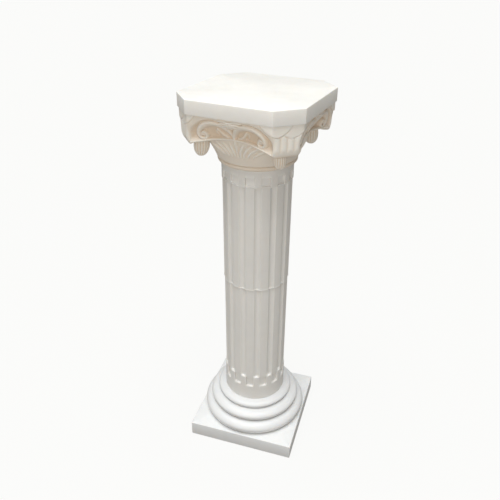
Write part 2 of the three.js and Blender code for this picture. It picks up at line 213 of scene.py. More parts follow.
def makeDust():
    # Dust: a patchy film on what faces up
    group, given, out = newGroup("settledDust", [("Cover", "NodeSocketFloat", 0.5)],
                                 [("Mask", "NodeSocketFloat")])
    normal = addNode(group, "ShaderNodeNewGeometry").outputs["Normal"]
    up = addNode(group, "ShaderNodeSeparateXYZ", {0: normal}).outputs["Z"]
    level = addNode(group, "ShaderNodeMapRange", {0: up, 1: 0.35, 2: 0.95}).outputs[0]
    place = addNode(group, "ShaderNodeTexCoord").outputs["Object"]
    patch = addNode(group, "ShaderNodeTexNoise", {"Vector": place, "Scale": 30.0, "Detail": 5.0})
    film = addNode(group, "ShaderNodeMapRange", {0: patch.outputs["Fac"], 1: 0.35, 2: 0.7}).outputs[0]
    both = addNode(group, "ShaderNodeMath", {0: level, 1: film}, operation="MULTIPLY").outputs[0]
    mask = addNode(group, "ShaderNodeMath", {0: both, 1: given["Cover"]}, operation="MULTIPLY").outputs[0]
    group.links.new(mask, out["Mask"])
    return group


# The crease and edge shares set how strongly the painted crease shading and painted edge highlight show
plastic = {"specular": 0.4, "softness": 0.3, "softColour": (1, 0.85, 0.7), "softDepth": 4 * mm,
           "cloudScale": 8.0, "skinScale": 700.0, "skinDepth": 0.6 * mm, "edgeSoftness": 0.05,
           "creaseShadingShare": 0.5, "edgeHighlightShare": 0.6, "dustTone": (0.72, 0.7, 0.67), "dustRoughness": 0.3}
effects = {"mottle": makeMottle(), "grain": makeGrain(), "edges": makeEdgeHighlightAndCreaseShading(), "dust": makeDust()}

# Finishes: the tone on plain surfaces, the painted shading in hollows and creases (painted shade on the slab
# and capital, painted fill light on the shaft and base, whose hollow tone is paler), the painted highlight
# along raised edges, how cloudy the tone is, the lowest and highest roughness, the depth of the moulding
# skin and how much dust lies on it
finishes = {
    "slabWhite": {"plain": (0.85, 0.825, 0.775), "hollow": (0.8, 0.78, 0.74), "edge": (0.93, 0.92, 0.9),
                  "mottle": 0.04, "roughness": (0.36, 0.5), "peel": 0.1, "dust": 0.1},
    "capitalCream": {"plain": (0.89, 0.85, 0.78), "hollow": (0.80, 0.67, 0.53), "edge": (0.94, 0.89, 0.82),
                     "mottle": 0.06, "roughness": (0.4, 0.56), "peel": 0.16, "dust": 0.12},
    "shaftWhite": {"plain": (0.79, 0.77, 0.735), "hollow": (0.84, 0.82, 0.785), "edge": (0.92, 0.91, 0.88),
                   "mottle": 0.05, "roughness": (0.34, 0.48), "peel": 0.12, "dust": 0.1},
    "baseWhite": {"plain": (0.74, 0.74, 0.735), "hollow": (0.8, 0.8, 0.79), "edge": (0.8, 0.8, 0.8),
                  "mottle": 0.03, "roughness": (0.32, 0.46), "peel": 0.1, "dust": 0.1},
}


def makeFinish(name):
    # Moulded plastic: the plain tone with painted shading in hollows and creases and a painted highlight on
    # edges, clouded and dusted
    spec = finishes[name]
    material = bpy.data.materials.new(name)
    material.use_nodes = True
    tree = material.node_tree
    shader = tree.nodes["Principled BSDF"]

    def effect(key, **values):
        node = tree.nodes.new("ShaderNodeGroup")
        node.node_tree = effects[key]
        for label, value in values.items():
            node.inputs[label].default_value = value
        return node.outputs

    def blend(share, a, b):
        sockets = {0: share, 6: a, 7: b}
        links = {k: (*v, 1.0) if isinstance(v, tuple) else v for k, v in sockets.items()}
        return addNode(tree, "ShaderNodeMix", links, data_type="RGBA").outputs[2]

    def scaled(value, factor):
        return addNode(tree, "ShaderNodeMath", {0: value, 1: factor}, operation="MULTIPLY").outputs[0]

    cloud = effect("mottle", Scale=plastic["cloudScale"])["Tone"]
    paintedEdgeAndCrease = effect("edges", Softness=plastic["edgeSoftness"])
    dust = effect("dust", Cover=spec["dust"])["Mask"]
    # The hollow attribute is painted shading per point: painted shade on the capital and drops, painted fill
    # light on the shaft
    carved = addNode(tree, "ShaderNodeAttribute", attribute_name="hollow").outputs["Fac"]
    tone = blend(carved, spec["plain"], spec["hollow"])
    # Painted shading in creases, towards the hollow tone
    tone = blend(scaled(paintedEdgeAndCrease["Crease"], plastic["creaseShadingShare"]), tone, spec["hollow"])
    # Painted highlight along raised edges
    tone = blend(scaled(paintedEdgeAndCrease["Edge"], plastic["edgeHighlightShare"]), tone, spec["edge"])
    tone = blend(dust, tone, plastic["dustTone"])
    light = addNode(tree, "ShaderNodeMapRange", {0: cloud, 1: 0.3, 2: 0.7, 3: 1 - spec["mottle"], 4: 1.0})
    bright = addNode(tree, "ShaderNodeHueSaturation", {"Value": light.outputs[0], "Color": tone}).outputs[0]
    low, high = spec["roughness"]
    rough = addNode(tree, "ShaderNodeMapRange", {0: cloud, 1: 0.35, 2: 0.65, 3: low, 4: high}).outputs[0]
    dulled = scaled(dust, plastic["dustRoughness"])
    rougher = addNode(tree, "ShaderNodeMath", {0: rough, 1: dulled}, operation="ADD").outputs[0]
    skin = effect("grain", Scale=plastic["skinScale"])["Height"]
    bump = addNode(tree, "ShaderNodeBump",
                   {"Strength": spec["peel"], "Distance": plastic["skinDepth"], "Height": skin})
    tree.links.new(bright, shader.inputs["Base Color"])
    tree.links.new(rougher, shader.inputs["Roughness"])
    tree.links.new(bump.outputs[0], shader.inputs["Normal"])
    shader.inputs["Specular IOR Level"].default_value = plastic["specular"]
    shader.inputs["Subsurface Weight"].default_value = plastic["softness"]
    shader.inputs["Subsurface Radius"].default_value = plastic["softColour"]
    shader.inputs["Subsurface Scale"].default_value = plastic["softDepth"]
    return material


finish = {name: makeFinish(name) for name in finishes}
for node, name in {"base": "baseWhite", "lower_shaft": "shaftWhite", "upper_shaft": "shaftWhite",
                   "capital": "capitalCream", "top_slab": "slabWhite"}.items():
    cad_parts[node].data.materials.clear()
    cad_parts[node].data.materials.append(finish[name])
print("finishes made:", ", ".join(finish))


# Rings with straight sides and softly rounded corners

def roundedOutline(corners, radius, perCorner, perSide):
    # A convex outline shrunk by the radius, and the direction in which each of its points stands out again.
    # Along a side the direction is the side's own; at a corner it sweeps from one side's to the next's.
    corners = np.array(corners)
    ahead = np.roll(corners, -1, 0) - corners
    outward = np.stack([ahead[:, 1], -ahead[:, 0]], 1) / np.hypot(*ahead.T)[:, None]
    before = np.roll(outward, 1, 0)
    inner = corners - radius * (before + outward) / (1 + (before * outward).sum(1))[:, None]
    places, directions = [], []
    for n in range(len(corners)):
        share = np.linspace(0, 1, perCorner)[:, None]
        sweep = mix(before[n], outward[n], share)
        places.append(np.repeat(inner[n][None], perCorner, 0))
        directions.append(sweep / np.hypot(*sweep.T)[:, None])
        share = np.linspace(0, 1, perSide + 2)[1:-1, None]
        places.append(mix(inner[n], inner[(n + 1) % len(corners)], share))
        directions.append(np.repeat(outward[n][None], perSide, 0))
    return np.concatenate(places), np.concatenate(directions)


def slabRows(outline, radius, edge, foot, head, steps=4):
    # Rings up a flat-topped slab: a quarter round at its lower edge, the straight side, and one at the top
    places, directions = outline
    quarter = np.radians(np.linspace(0, 90, steps))
    rows = []
    for z, sign, angles in ((foot + edge, -1, quarter[::-1]), (head - edge, 1, quarter)):
        for angle in angles:
            flat = places + (radius - edge + edge * np.cos(angle)) * directions
            rows.append(np.column_stack([flat, np.full(len(flat), z + sign * edge * np.sin(angle))]))
    return rows


# Top slab: a square with cut corners and crisp, slightly softened edges

slab = {"side": 276.8 * mm, "cut": 46.5 * mm, "turn": -8.3,
        "cornerRadius": 1.6 * mm, "edgeRadius": 1.1 * mm}


def makeSlab():
    low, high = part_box("top_slab")
    half = slab["side"] / 2
    flat = half - slab["cut"]
    corners = [(half, -flat), (half, flat), (flat, half), (-flat, half),
               (-half, flat), (-half, -flat), (-flat, -half), (flat, -half)]
    outline = roundedOutline(corners, slab["cornerRadius"], perCorner=5, perSide=11)
    rows = np.array(slabRows(outline, slab["cornerRadius"], slab["edgeRadius"], low.z, high.z))
    makePiece("white_slab", [closedSkin(turned(rows, slab["turn"]))], ["top_slab"],
              finish["slabWhite"])


makeSlab()


# Base: a square plate and three rounds in one skin

base = {"plateHeight": 40 * mm, "cornerRadius": 1.6 * mm, "edgeRadius": 1.2 * mm,
        "heights": [33.5 * mm, 25.5 * mm, 18 * mm], "reaches": [133.5 * mm, 117.5 * mm, 97.5 * mm],
        "neck": 77.8 * mm, "tuck": 0.45}


def roundProfile(foot, height, reach, neck):
    # Out from under the round along a tight arc, then back in to the neck along a quarter of an ellipse
    under = height / 2
    below = np.radians(np.linspace(-78, 0, 14))
    above = np.radians(np.linspace(6, 90, 15))
    out = np.concatenate([reach - under + under * np.cos(below), neck + (reach - neck) * np.cos(above)])
    up = foot + under + under * np.sin(np.concatenate([below, above]))
    return np.column_stack([out, up])


def makeBase():
    low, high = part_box("base")
    half = high.x
    corners = [(half, -half), (half, half), (-half, half), (-half, -half)]
    outline = roundedOutline(corners, base["cornerRadius"], perCorner=5, perSide=60)
    rows = slabRows(outline, base["cornerRadius"], base["edgeRadius"], low.z, base["plateHeight"])
    flat = outline[0] + base["cornerRadius"] * outline[1]
    away = flat / np.hypot(*flat.T)[:, None]
    turnedIn = [reach - base["tuck"] * height for height, reach in zip(base["heights"], base["reaches"])]
    necks = turnedIn[1:] + [base["neck"]]
    foot = base["plateHeight"]
    for height, reach, neck in zip(base["heights"], base["reaches"], necks):
        for radius, z in roundProfile(foot, height, reach, neck):
            rows.append(np.column_stack([radius * away, np.full(len(away), z)]))
        foot += height
    makePiece("ringed_base", [closedSkin(np.array(rows))], ["base"], finish["baseWhite"])


makeBase()


# Shaft halves: flat lands and hollow flutes, with pockets and tabs in the band at one end. Sizes that the
# halves share come first, then each half's own.

shaft = {"fluteCount": 14, "landAngle": 13.7, "fluteDepth": 4.2 * mm,
         "bandProud": 1.6 * mm, "pocketDepth": 2.8 * mm, "pocketSlope": 0.65, "landLead": 3.3 * mm,
         "undercut": 0.7 * mm, "ledge": 3 * mm, "runOut": 10 * mm, "ledgeShift": 2.2, "ledgeHalf": 4.2,
         "endRound": 0.7 * mm,
         "lipHeight": 1.7 * mm, "lipProud": 0.5 * mm, "lipFill": 1.8 * mm, "rimProud": 1 * mm,
         "lower": {"radius": 76.2 * mm, "bandHeight": 74.5 * mm, "pocketHeight": 27 * mm, "upright": False,
                   "turn": -57.6},
         "upper": {"radius": 77.5 * mm, "bandHeight": 37.5 * mm, "pocketHeight": 19 * mm, "upright": True,
                   "turn": -59.6}}


def shaftRadius(angle, z, radius, length, bandHeight, pocketHeight, upright):
    # Radius over an angle from the middle of a land and a height from the seam. Lands are level, flutes are
    # parabolas. Past the tab edge the flutes rise to the band; past the land's end the land drops to the
    # pocket floor, and past the pocket it rises to the band. Steps that end up facing down are sharp. Those
    # facing up are ledges in the middle of each flute and on a part of each land, and run out softly beside.
    # The upper half also has a rolled lip at the seam and a small rim at the lands' ends, both bell curves.
    step = 360 / shaft["fluteCount"]
    turn = (angle + step / 2) % step - step / 2
    away = np.abs(turn)
    landHalf = shaft["landAngle"] / 2
    fluteHalf = step / 2 - landHalf
    across = np.clip((step / 2 - away) / fluteHalf, 0, 1)
    onLand = 1 - smooth(landHalf, landHalf + shaft["pocketSlope"], away)
    sharp, level = shaft["undercut"] / 2, shaft["ledge"] / 2
    runOut = shaft["runOut"] / 2
    onFlute = mix(runOut, level, (1 - across ** 2) ** 4)
    partLand = 1 - smooth(0.7, 1, np.abs(turn + shaft["ledgeShift"]) / shaft["ledgeHalf"])
    onLandSide = mix(runOut, level, partLand)
    fluteStep, inHalf, outHalf = (sharp, level, sharp) if upright else (onFlute, sharp, onLandSide)
    tabEdge = length - bandHeight
    landEnd = tabEdge + shaft["landLead"]
    pocketEnd = landEnd + pocketHeight
    band = radius + shaft["bandProud"]
    hollow = shaft["fluteDepth"] * (1 - across ** 2)
    flute = mix(radius - hollow, band, smooth(tabEdge - fluteStep, tabEdge + fluteStep, z))
    land = mix(radius, radius - shaft["pocketDepth"], smooth(landEnd - inHalf, landEnd + inHalf, z))
    land = mix(land, band, smooth(pocketEnd - outHalf, pocketEnd + outHalf, z))
    lip = np.exp(-((z - shaft["lipHeight"]) / shaft["lipHeight"]) ** 2) if upright else 0 * z
    rim = np.exp(-((landEnd - z - shaft["lipHeight"]) / shaft["lipHeight"]) ** 2) if upright else 0 * z
    land = land + shaft["rimProud"] * rim
    return mix(flute, land, onLand) + lip * mix(shaft["lipProud"], shaft["lipFill"], 1 - across ** 2)


def makeShaft(name, node, radius, bandHeight, pocketHeight, upright, turn):
    # Angles lie closest together where a land drops into a flute, and heights where the band's steps are
    low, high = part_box(node)
    length = high.z - low.z
    step = 360 / shaft["fluteCount"]
    landHalf = shaft["landAngle"] / 2
    slope = shaft["pocketSlope"]
    halfway = [0, 0.4 * landHalf, 0.75 * landHalf, landHalf - 0.5, landHalf, landHalf + 0.25 * slope,
               landHalf + 0.5 * slope, landHalf + 0.75 * slope, landHalf + slope]
    halfway += list(np.linspace(landHalf + slope, step / 2, 8)[1:])
    period = np.array(halfway[:-1] + [step - a for a in halfway[:0:-1]])
    angle = (np.arange(shaft["fluteCount"])[:, None] * step + period).ravel()
    edges = [length - bandHeight, length - bandHeight + shaft["landLead"]]
    edges.append(edges[1] + pocketHeight)
    outStep = shaft["undercut" if upright else "runOut"]
    inStep = shaft["ledge" if upright else "undercut"]
    over = np.linspace(-0.55, 0.55, 7 if upright else 15)
    around = [edge + soft * over for edge, soft in zip(edges, (outStep, inStep, outStep))]
    ends = shaft["endRound"] * (1 - np.cos(np.radians([0, 45, 90])))
    lip = shaft["lipHeight"] * np.linspace(0.7, 3.2, 8)
    rim = edges[1] - lip if upright else []
    plain = np.linspace(9 * mm, edges[0] - 6 * mm, 12)
    last = np.linspace(edges[2] + 6 * mm, length - 2 * mm, 3)
    z = np.unique(np.concatenate([ends, lip, rim, plain, *around, last, length - ends]))
    radii = shaftRadius(angle[None], z[:, None], radius, length, bandHeight, pocketHeight, upright)
    fromEnd = np.minimum(z, length - z)[:, None]
    inEnd = np.clip(1 - fromEnd / shaft["endRound"], 0, 1)
    # Painted fill light: flutes and pockets take the shaft's paler hollow tone, more the deeper they are
    hollow = np.clip((radius - radii) / shaft["fluteDepth"], 0, 1)
    radii = radii - shaft["endRound"] * (1 - np.sqrt(1 - inEnd ** 2))
    a = np.radians(angle)
    rows = np.stack([radii * np.cos(a), radii * np.sin(a), np.repeat(z[:, None], len(angle), 1)], -1)
    if not upright:
        # The lower half hangs down from the seam
        rows = (rows * [1, -1, -1] + [0, 0, length])[::-1, ::-1]
        hollow = hollow[::-1, ::-1]
    rows = turned(rows, turn)
    rows[..., 2] += low.z
    # The painted fill light goes in at 0.8 of that share
    makePiece(name, [closedSkin(rows)], [node], finish["shaftWhite"],
              hollow=np.concatenate([hollow.ravel() * 0.8, [0, 0]]))


makeShaft("fluted_lower_half", "lower_shaft", **shaft["lower"])
makeShaft("fluted_upper_half", "upper_shaft", **shaft["upper"])


# Capital. Heights are from its own foot, side is along a face from its middle, and reach is straight out
# from the axis. A face runs from edge to edge (-1 to 1) and is hollow in plan, and a horn fills each corner
# between two faces. Points of the carved lines are in millimetres: side and height, with the flower's
# heights from the slab down.

capital = {"turn": slab["turn"], "faceReach": 134 * mm, "hornReach": 158.06 * mm,
           "footRadius": 80.1 * mm, "neckHeight": 2 * mm, "ringHeight": 9 * mm, "ringRadius": 86.9 * mm,
           "beadReach": 4.4 * mm, "groove": [(2.6, -0.1), (1.1, 0.5), (0.3, 1.1), (0, 1.8)],
           "bellStart": 87.7 * mm, "bellShares": (0.79, 0.835), "bellCurve": 1.2,
           "lipMiddle": 0.6, "lipEnd": 0.487, "lipRoundHeight": 1.8 * mm, "lipRoundDepth": 1.5 * mm,
           "archTop": 0.983, "archFoot": 0.655, "archStart": 0.48, "archCurve": 1.75,
           "faceHollow": 22 * mm, "hollowTop": 0.97, "hornRoll": 16 * mm, "hornDip": 6 * mm,
           "waist": 3.2 * mm, "waistHeights": (84 * mm, 106 * mm),
           "edgeWidth": (13 * mm, 1.6 * mm), "edgeHeights": (70 * mm, 104 * mm),
           "edgeSink": 0.207, "edgeShift": 0.414,
           "faceSteps": 108, "hornSteps": 38, "bellRows": 44, "underRows": 9, "faceRows": 84}

carving = {"lean": 0.45, "bowlDepth": 8 * mm, "archSlope": 8 * mm, "rim": 1.2 * mm,
           "lipSlope": (6 * mm, 15 * mm),
           "lipRidge": {"proud": 0.5 * mm, "fall": 2.2 * mm, "half": 2 * mm},
           "ridgeWidth": 12 * mm, "ridgeHeight": 7 * mm, "ridgeProud": 1.2 * mm,
           "coilWidth": 9 * mm, "coilRadius": 8.5 * mm, "coilEnd": 3.2 * mm, "coilTurns": 1.05,
           "coilDrop": 1.35, "eyeRadius": 3.8 * mm, "eyeSunk": 1.5 * mm, "eyeFall": 4 * mm,
           "scrollMiddle": (35 * mm, 82.8 * mm), "scrollReach": 35 * mm, "scrollRise": 24 * mm,
           "bowlLeaves": [{"line": ((3, 83.5), (18, 87), (31, 97)), "width": 8.5 * mm, "proud": 5.5 * mm},
                          {"line": ((31, 97), (34.5, 93), (32, 87.5)), "width": 6 * mm, "proud": 3.5 * mm},
                          {"line": ((4, 81), (15, 82.3), (27, 85.5)), "width": 5.5 * mm, "proud": 3.2 * mm}],
           "flower": {"down": 8.5 * mm, "half": (6.2 * mm, 5.4 * mm), "proud": 3.6 * mm, "fall": 5 * mm,
                      "pitRadius": 2.2 * mm, "pitDepth": 2 * mm,
                      "petals": [((5, -5.5), (15, -3.5), (25, -6)), ((6, -9), (15, -9.5), (24, -11)),
                                 ((5, -12), (12, -14.5), (18, -17)), ((1.5, -14), (3, -16.5), (4.5, -19.5))],
                      "petalHalf": 4.6 * mm, "petalProud": 2.2 * mm, "petalFall": 5 * mm},
           "lappets": [{"middle": -22 * mm, "left": 34 * mm, "right": 31 * mm, "hang": 22.5 * mm,
                        "proud": 2.4 * mm},
                       {"middle": 8 * mm, "left": 30 * mm, "right": 38 * mm, "hang": 25.5 * mm,
                        "proud": 1.5 * mm}],
           "lappetCurve": 1.5, "lappetGroove": 0.9 * mm,
           "reeds": [((6, 33), (8, 46.5), (15, 61)), ((13, 32), (18, 47), (33, 61)),
                     ((21, 32), (29, 46), (48, 58)), ((31, 33), (41, 42.5), (60, 52))],
           "reedWidth": 7.5 * mm, "reedHeight": 4.4 * mm, "reedFall": 5 * mm,
           "stem": {"from": 72 * mm, "to": 31 * mm, "half": (3.4 * mm, 1.6 * mm), "proud": 4.6 * mm,
                    "fall": 4 * mm},
           "bead": {"height": 64 * mm, "radius": 3.6 * mm, "proud": 6 * mm, "fall": 5 * mm},
           "ribCount": 4, "ribDepth": 1.7 * mm, "ribStart": (62 * mm, 72 * mm)}

capitalLow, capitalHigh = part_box("capital")
capitalHeight = capitalHigh.z - capitalLow.z
hornEdge = np.sqrt(2) * capital["hornReach"] - capital["faceReach"]
hornHalf = np.sqrt(2) * capital["faceReach"] - capital["hornReach"]
hornFoot = capital["lipEnd"] * capitalHeight - capital["hornDip"]


def hornRolledIn(z):
    # A quarter round: the horn's foot rolls in towards the axis
    down = np.clip(1 - (z - hornFoot) / capital["hornRoll"], 0, 1)
    return capital["hornRoll"] * (1 - np.sqrt(1 - down ** 2))


def lipHeight(e):
    # Lower lip of the scrolls: highest in the middle of a face, falling with the square of the distance
    return capitalHeight * (capital["lipMiddle"] - (capital["lipMiddle"] - capital["lipEnd"]) * e ** 2)


def faceHollow(e, z):
    # How far a face is hollowed in plan: one less the square of the distance from its middle, and fading
    # from all of that at the lip to nothing just under the slab
    up = smooth(capital["lipMiddle"], capital["hollowTop"], z / capitalHeight)
    return capital["faceHollow"] * (1 - e ** 2) * (1 - up)


def bellRadius(z, e):
    # From the ring out to just behind the lips, by a power of the share of the way up. The widest radius
    # grows with the square of the distance from a face's middle.
    start = capital["neckHeight"] + capital["ringHeight"]
    share = np.clip((z - start) / (lipHeight(e) - start), 0, 1)
    widest = capital["faceReach"] * mix(*capital["bellShares"], e ** 2)
    return mix(capital["bellStart"], widest, share ** capital["bellCurve"])


def insideCurve(t, rise, width, height, power):
    # Rough distance inside a curve t^p + rise^p = 1 that is width by height in size
    t = np.clip(t, 1e-4, None)
    rise = np.clip(rise, 1e-4, None)
    whole = (t ** power + rise ** power) ** (1 / power)
    slope = whole ** (1 - power) * np.hypot(t ** (power - 1) / width, rise ** (power - 1) / height)
    return (1 - whole) / slope


def insideArch(side, z):
    # The bowl's outer edge: an arch by that curve, from a start along the face out to the horn
    start = capital["archStart"] * hornEdge
    top, foot = (capital[key] * capitalHeight for key in ("archTop", "archFoot"))
    width = hornEdge - start
    rise = (z - foot) / (top - foot)
    return insideCurve((side - start) / width, rise, width, top - foot, capital["archCurve"])


def scrollPath():
    # Half an ellipse over the bowl, then a spiral around the eye
    middle, reach, rise = carving["scrollMiddle"], carving["scrollReach"], carving["scrollRise"]
    t = np.radians(np.linspace(180, 0, 41))
    over = np.column_stack([middle[0] + reach * np.cos(t), middle[1] + rise * np.sin(t)])
    share = np.linspace(0.02, 1, 40)
    radius = mix(carving["coilRadius"], carving["coilEnd"], share)
    t = -2 * np.pi * carving["coilTurns"] * share
    eye = middle[0] + reach - carving["coilRadius"]
    coil = np.column_stack([eye + radius * np.cos(t), middle[1] + radius * np.sin(t)])
    return np.concatenate([over, coil]), len(over) / (len(over) + len(coil)), (eye, middle[1])


def faceCarving(side, z):
    # How far the carved face stands out from its plain plane: the bowl, the lip's rim, the scroll with its
    # eye, and the small leaves in the bowl. Rim, scroll, eye and leaves fall away from their middle lines
    # with the square of the distance, and the larger form wins with a soft blend. The scroll's pattern
    # climbs a little where the face is hollow.
    e = side / hornEdge
    fromLip = z - lipHeight(e)
    slope = mix(*carving["lipSlope"], smooth(0.45, 0.9, e))
    arched = smooth(0, carving["archSlope"], insideArch(side, z))
    sunk = carving["bowlDepth"] * arched * smooth(carving["rim"], slope, fromLip)
    ridge = carving["lipRidge"]
    lifted = ridge["proud"] - ridge["fall"] * ((fromLip - ridge["half"]) / ridge["half"]) ** 2
    surface = larger(-sunk, lifted, 1 * mm)
    path, turnIn, eye = scrollPath()
    z = z + carving["lean"] * faceHollow(e, z)
    apart, along = nearPath(side, z, path)
    inCoil = smooth(turnIn - 0.08, turnIn + 0.15, along)
    crest = carving["ridgeProud"] * smooth(0, 0.3, along) * (1 - carving["coilDrop"] * inCoil)
    width = mix(carving["ridgeWidth"] * mix(0.7, 1, smooth(0, 0.2, along)), carving["coilWidth"], inCoil)
    width = width * mix(1, 0.6, smooth(0.75, 1, along))
    surface = larger(surface, crest - carving["ridgeHeight"] * (apart / (width / 2)) ** 2, 1.6 * mm)
    fromEye = np.hypot(side - eye[0], z - eye[1]) / carving["eyeRadius"]
    surface = larger(surface, -carving["eyeSunk"] - carving["eyeFall"] * fromEye ** 2, 1 * mm)
    for leaf in carving["bowlLeaves"]:
        away, on = nearPath(side, z, curveThrough(*leaf["line"]))
        swell = mix(0.5, 1, np.sin(np.pi * mix(0.1, 0.85, on)))
        lifted = leaf["proud"] * swell - 6 * mm * (away / (leaf["width"] / 2 * swell)) ** 2
        surface = larger(surface, lifted - carving["bowlDepth"], 0.8 * mm)
    return surface


def flowerCarving(surface, side, z):
    # Flower: a boss that falls with the fourth powers of side and height, a pit in it by a bell curve, and
    # pointed petals beside and below it, parabolas across their middle lines
    flower = carving["flower"]
    down = z - capitalHeight + flower["down"]
    squared = (np.abs(side) / flower["half"][0]) ** 4 + (np.abs(down) / flower["half"][1]) ** 4
    boss = flower["proud"] - flower["fall"] * squared
    pit = flower["pitDepth"] * np.exp(-(side ** 2 + down ** 2) / flower["pitRadius"] ** 2)
    surface = larger(surface, boss - pit, 0.7 * mm)
    for petal in flower["petals"]:
        away, on = nearPath(side, z, curveThrough(*petal) + [0, capitalHeight])
        swell = np.clip(np.sin(np.pi * mix(0.25, 1, on)), 0.12, None) ** 0.6
        beside = away / (flower["petalHalf"] * swell)
        lifted = flower["petalProud"] * mix(1, 0.4, on) - flower["petalFall"] * beside ** 2
        surface = larger(surface, lifted, 0.9 * mm)
    return surface


def lappetRelief(q, z):
    # Two tongues hung from the slab over each horn, the first lapping over the second. Each is level inside
    # its curve with a soft step at its edge, and has a thin groove beside it, a bell curve. q runs across
    # the horn and on around both of its edges.
    layers = []
    for tongue in carving["lappets"]:
        reach = np.where(q < tongue["middle"], tongue["left"], tongue["right"])
        t = np.abs(q - tongue["middle"]) / reach
        drop = (capitalHeight - z) / tongue["hang"]
        inside = insideCurve(t, drop, reach, tongue["hang"], carving["lappetCurve"])
        layers.append((smooth(-0.1 * mm, 1.5 * mm, inside) * tongue["proud"],
                       carving["lappetGroove"] * np.exp(-((inside + 0.7 * mm) / (0.8 * mm)) ** 2)))
    (front, frontGroove), (back, backGroove) = layers
    return np.maximum(front, back) - frontGroove - backGroove * (1 - smooth(0, 0.3 * mm, front))


def bellCarving(side, z):
    # Leaves on the bell: curved reeds that fan out from the foot of a stem, and a bead on the stem. All
    # fall away from their middle with the square of the distance.
    relief = np.zeros_like(side)
    for reed in carving["reeds"]:
        away, on = nearPath(side, z, curveThrough(*reed))
        swell = np.clip(np.sin(np.pi * mix(0.12, 0.95, on)), 0.1, None) ** 0.6
        beside = away / (carving["reedWidth"] / 2 * mix(0.7, 1.15, on))
        lifted = carving["reedHeight"] * swell - carving["reedFall"] * beside ** 2
        relief = larger(relief, lifted, 0.8 * mm)
    stem, bead = carving["stem"], carving["bead"]
    away, on = nearPath(side, z, np.array([[0, stem["from"]], [0, stem["to"]]]))
    half = mix(*stem["half"], smooth(0.4, 1, on))
    relief = larger(relief, stem["proud"] * mix(1, 0.5, on) - stem["fall"] * (away / half) ** 2, 0.8 * mm)
    fromBead = np.hypot(side, z - bead["height"]) / bead["radius"]
    return larger(relief, bead["proud"] - bead["fall"] * fromBead ** 2, 0.8 * mm)


def capitalColumns():
    # Columns of one quarter: across a face, then across the horn on its right. Gives each column's place on
    # the face (e), its place across the horn (k) and its angle on the round parts.
    e = np.linspace(-1, 1, capital["faceSteps"] + 1)
    k = np.linspace(-1, 1, capital["hornSteps"] + 1)[1:-1]
    edge = np.arctan2(hornEdge, capital["faceReach"])
    angle = np.concatenate([np.arctan2(hornEdge * e, capital["faceReach"]),
                            np.pi / 4 + k * (np.pi / 4 - edge)])
    return np.concatenate([e, np.ones(len(k))]), np.concatenate([-np.ones(len(e)), k]), angle


def frameSurface(e, k, z):
    # Side and reach of the carved faces and horns, and the painted shade of each place (its hollow value):
    # darker the deeper a face is carved, between the ribs, and most where a horn's foot rolls under. Where a
    # face
    # meets a horn the edge is rounded: both sink by the square of how near the edge is, and move along to
    # stay together. Ribs on a horn are parabolas across, and low down the horns are drawn in a little.
    onHorn = k > -1
    side = e * hornEdge
    away = np.abs(side)
    rolled = hornRolledIn(z)
    waist = capital["waist"] * (1 - smooth(*capital["waistHeights"], z))
    beyond = hornHalf + hornEdge - away
    q = np.where(onHorn, k * hornHalf, np.where(e > 0, -beyond, beyond))
    lappets = lappetRelief(q, z)
    carved = flowerCarving(faceCarving(away, z), away, z)
    nearLip = np.clip(1 - (z - lipHeight(e)) / capital["lipRoundHeight"], 0, 1)
    carved -= capital["lipRoundDepth"] * nearLip ** 2
    width = mix(*capital["edgeWidth"], smooth(*capital["edgeHeights"], z))
    fromEdge = np.where(onHorn, (1 - np.abs(k)) * hornHalf, hornEdge - away)
    nearEdge = np.clip(1 - fromEdge / width, 0, 1)
    sunk = capital["edgeSink"] * width * nearEdge ** 2
    along = capital["edgeShift"] * sunk * nearEdge
    faceOut = capital["faceReach"] - faceHollow(e, z) + carved + lappets - sunk
    pulled = rolled / np.sqrt(2) * smooth(0.86, 1, np.abs(e))
    narrowed = waist / np.sqrt(2) * smooth(0.6, 1, np.abs(e))
    pitch = 2 * hornHalf / carving["ribCount"]
    across = (k * hornHalf + hornHalf) % pitch - pitch / 2
    bare = 1 - smooth(0.2 * mm, 1 * mm, lappets)
    free = smooth(*carving["ribStart"], z) * bare
    ribs = carving["ribDepth"] * (1 - (across / (pitch / 2)) ** 2) * free
    hornOut = capital["hornReach"] - rolled + ribs + lappets - sunk
    acrossHorn = k * (hornHalf - waist) - np.sign(k) * along
    x = np.where(onHorn, (hornOut + acrossHorn) / np.sqrt(2),
                 side - np.sign(e) * (pulled + along - narrowed))
    reach = np.where(onHorn, (hornOut - acrossHorn) / np.sqrt(2), faceOut - pulled - narrowed)
    # Painted shade on the faces: darker the deeper the carving, none under the lappets
    facePaintedShade = np.clip(0.35 - 0.65 * carved / carving["bowlDepth"], 0.1, 1) * bare
    underHorn = smooth(0, 0.5, rolled / capital["hornRoll"])
    # Painted shade on the horns: in the grooves between ribs, and heavy where the foot rolls under
    hornPaintedShade = 0.25 * (1 - ribs / carving["ribDepth"]) * free + 1.2 * underHorn
    return x, reach, np.where(onHorn, hornPaintedShade, facePaintedShade)


